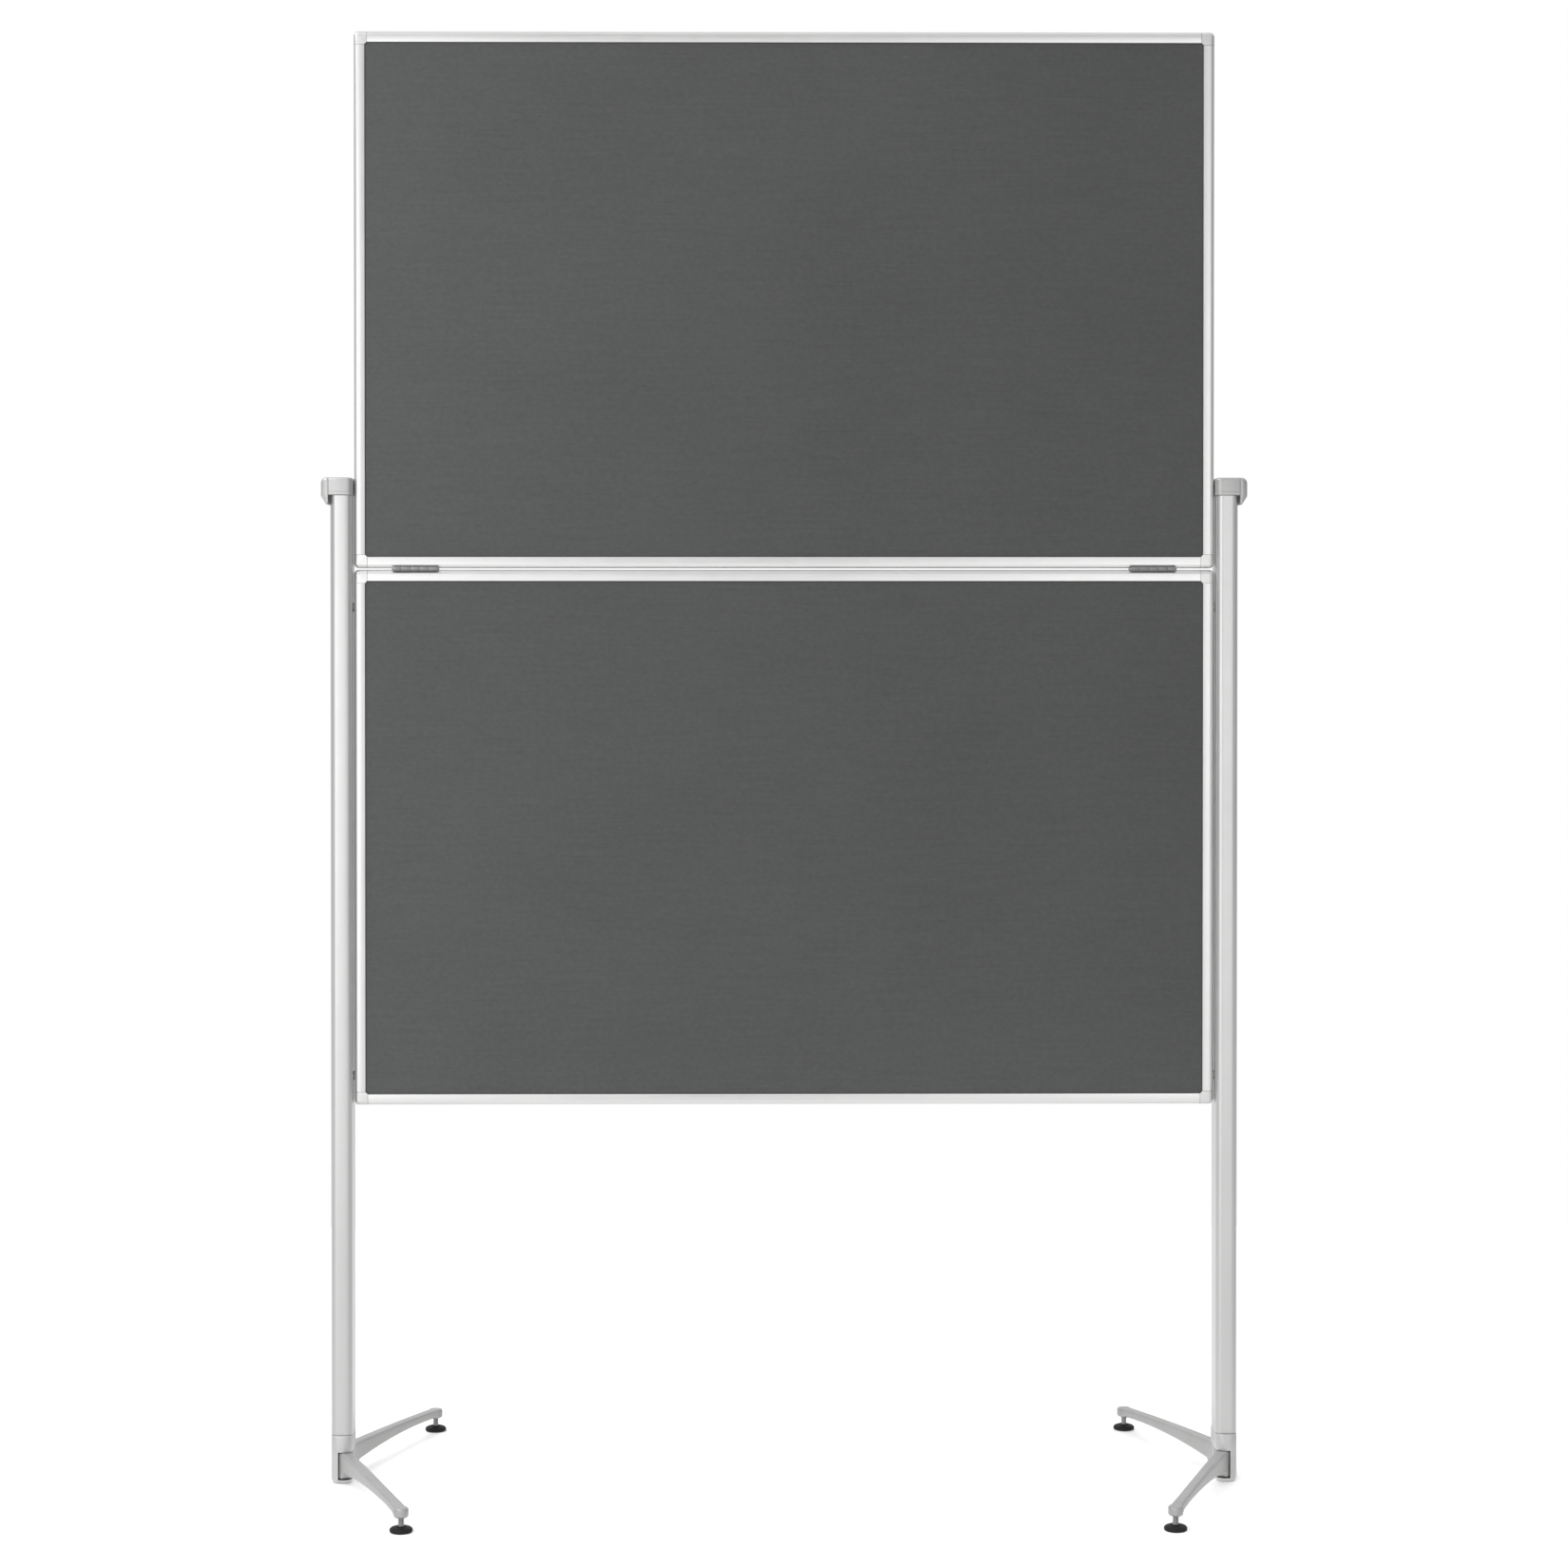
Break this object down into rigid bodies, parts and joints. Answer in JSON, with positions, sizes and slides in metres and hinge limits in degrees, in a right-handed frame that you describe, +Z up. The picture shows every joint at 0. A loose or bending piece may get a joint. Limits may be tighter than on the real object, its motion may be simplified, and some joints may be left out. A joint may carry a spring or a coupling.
{
  "type": "folding pinboard",
  "caption": "Free-standing folding felt board: hinged framed panels between two posts, on swing-out arms with levelling feet.",
  "frame": {"origin": "on the floor, under the middle of the board", "axes": "+X to the right seen from the front, +Y to the back, +Z up"},
  "size_m": [1.2898, 0.5708, 2.0217],
  "materials": {
    "frame_aluminium": "satin anodised",
    "corner_piece": "satin silver grey",
    "post_aluminium": "satin anodised",
    "head_casting": "satin silver-grey moulding",
    "arm_casting": "silver-painted die casting",
    "steel": "zinc plated",
    "hinge_metal": "dark grey, satin",
    "felt": "matt needle felt",
    "core_board": "unfinished fibreboard",
    "foot_rubber": "matt black",
    "bush_plastic": "natural nylon"
  },
  "bodies": {
    "stand": {"lower_core_board": "core_board", "lower_felt_front": "felt", "lower_felt_back": "felt", "lower_rail_top": "frame_aluminium", "lower_rail_bottom": "frame_aluminium", "lower_rail_left": "frame_aluminium", "lower_rail_right": "frame_aluminium", "lower_corner_top_left": "corner_piece", "lower_corner_top_right": "corner_piece", "lower_corner_bottom_left": "corner_piece", "lower_corner_bottom_right": "corner_piece", "hinge_lower_leaf_left": "hinge_metal", "hinge_pin_left": "steel", "hinge_lower_leaf_right": "hinge_metal", "hinge_pin_right": "steel", "post_left": "post_aluminium", "head_left": "head_casting", "hub_left": "arm_casting", "panel_bolt_top_left": "steel", "spacer_bush_top_left": "bush_plastic", "panel_bolt_bottom_left": "steel", "spacer_bush_bottom_left": "bush_plastic", "front_left_pivot_pin": "steel", "rear_left_pivot_pin": "steel", "post_right": "post_aluminium", "head_right": "head_casting", "hub_right": "arm_casting", "panel_bolt_top_right": "steel", "spacer_bush_top_right": "bush_plastic", "panel_bolt_bottom_right": "steel", "spacer_bush_bottom_right": "bush_plastic", "front_right_pivot_pin": "steel", "rear_right_pivot_pin": "steel"},
    "upper_panel": {"upper_core_board": "core_board", "upper_felt_front": "felt", "upper_felt_back": "felt", "upper_rail_top": "frame_aluminium", "upper_rail_bottom": "frame_aluminium", "upper_rail_left": "frame_aluminium", "upper_rail_right": "frame_aluminium", "upper_corner_top_left": "corner_piece", "upper_corner_top_right": "corner_piece", "upper_corner_bottom_left": "corner_piece", "upper_corner_bottom_right": "corner_piece", "hinge_upper_leaf_left": "hinge_metal", "hinge_upper_leaf_right": "hinge_metal"},
    "latch_left": {"latch_knob_left": "head_casting"},
    "latch_right": {"latch_knob_right": "head_casting"},
    "front_left_leg": {"front_left_arm": "arm_casting"},
    "front_left_foot": {"front_left_levelling_stem": "steel", "front_left_foot_pad": "foot_rubber"},
    "rear_left_leg": {"rear_left_arm": "arm_casting"},
    "rear_left_foot": {"rear_left_levelling_stem": "steel", "rear_left_foot_pad": "foot_rubber"},
    "front_right_leg": {"front_right_arm": "arm_casting"},
    "front_right_foot": {"front_right_levelling_stem": "steel", "front_right_foot_pad": "foot_rubber"},
    "rear_right_leg": {"rear_right_arm": "arm_casting"},
    "rear_right_foot": {"rear_right_levelling_stem": "steel", "rear_right_foot_pad": "foot_rubber"}
  },
  "joints": [
    {"name": "upper_panel_fold", "type": "hinge", "parent": "stand", "child": "upper_panel", "pos_m": [0, -0.016, 1.27335], "axis": [1, 0, 0], "range_deg": [0, 180]},
    {"name": "latch_left_pull", "type": "slide", "parent": "stand", "child": "latch_left", "axis": [-1, 0, 0], "range_m": [0, 0.006], "stiffness_N_per_m": 400, "springref_m": -0.006},
    {"name": "latch_right_pull", "type": "slide", "parent": "stand", "child": "latch_right", "axis": [1, 0, 0], "range_m": [0, 0.006], "stiffness_N_per_m": 400, "springref_m": -0.006},
    {"name": "front_left_leg_swing", "type": "hinge", "parent": "stand", "child": "front_left_leg", "pos_m": [-0.6145, -0.017, 0.025], "axis": [0, 0, 1], "range_deg": [0, 67]},
    {"name": "front_left_foot_level", "type": "slide", "parent": "front_left_leg", "child": "front_left_foot", "axis": [0, 0, 1], "range_m": [-0.005, 0.003]},
    {"name": "rear_left_leg_swing", "type": "hinge", "parent": "stand", "child": "rear_left_leg", "pos_m": [-0.6145, 0.017, 0.025], "axis": [0, 0, -1], "range_deg": [0, 67]},
    {"name": "rear_left_foot_level", "type": "slide", "parent": "rear_left_leg", "child": "rear_left_foot", "axis": [0, 0, 1], "range_m": [-0.005, 0.003]},
    {"name": "front_right_leg_swing", "type": "hinge", "parent": "stand", "child": "front_right_leg", "pos_m": [0.6145, -0.017, 0.025], "axis": [0, 0, -1], "range_deg": [0, 67]},
    {"name": "front_right_foot_level", "type": "slide", "parent": "front_right_leg", "child": "front_right_foot", "axis": [0, 0, 1], "range_m": [-0.005, 0.003]},
    {"name": "rear_right_leg_swing", "type": "hinge", "parent": "stand", "child": "rear_right_leg", "pos_m": [0.6145, 0.017, 0.025], "axis": [0, 0, 1], "range_deg": [0, 67]},
    {"name": "rear_right_foot_level", "type": "slide", "parent": "rear_right_leg", "child": "rear_right_foot", "axis": [0, 0, 1], "range_m": [-0.005, 0.003]}
  ]
}
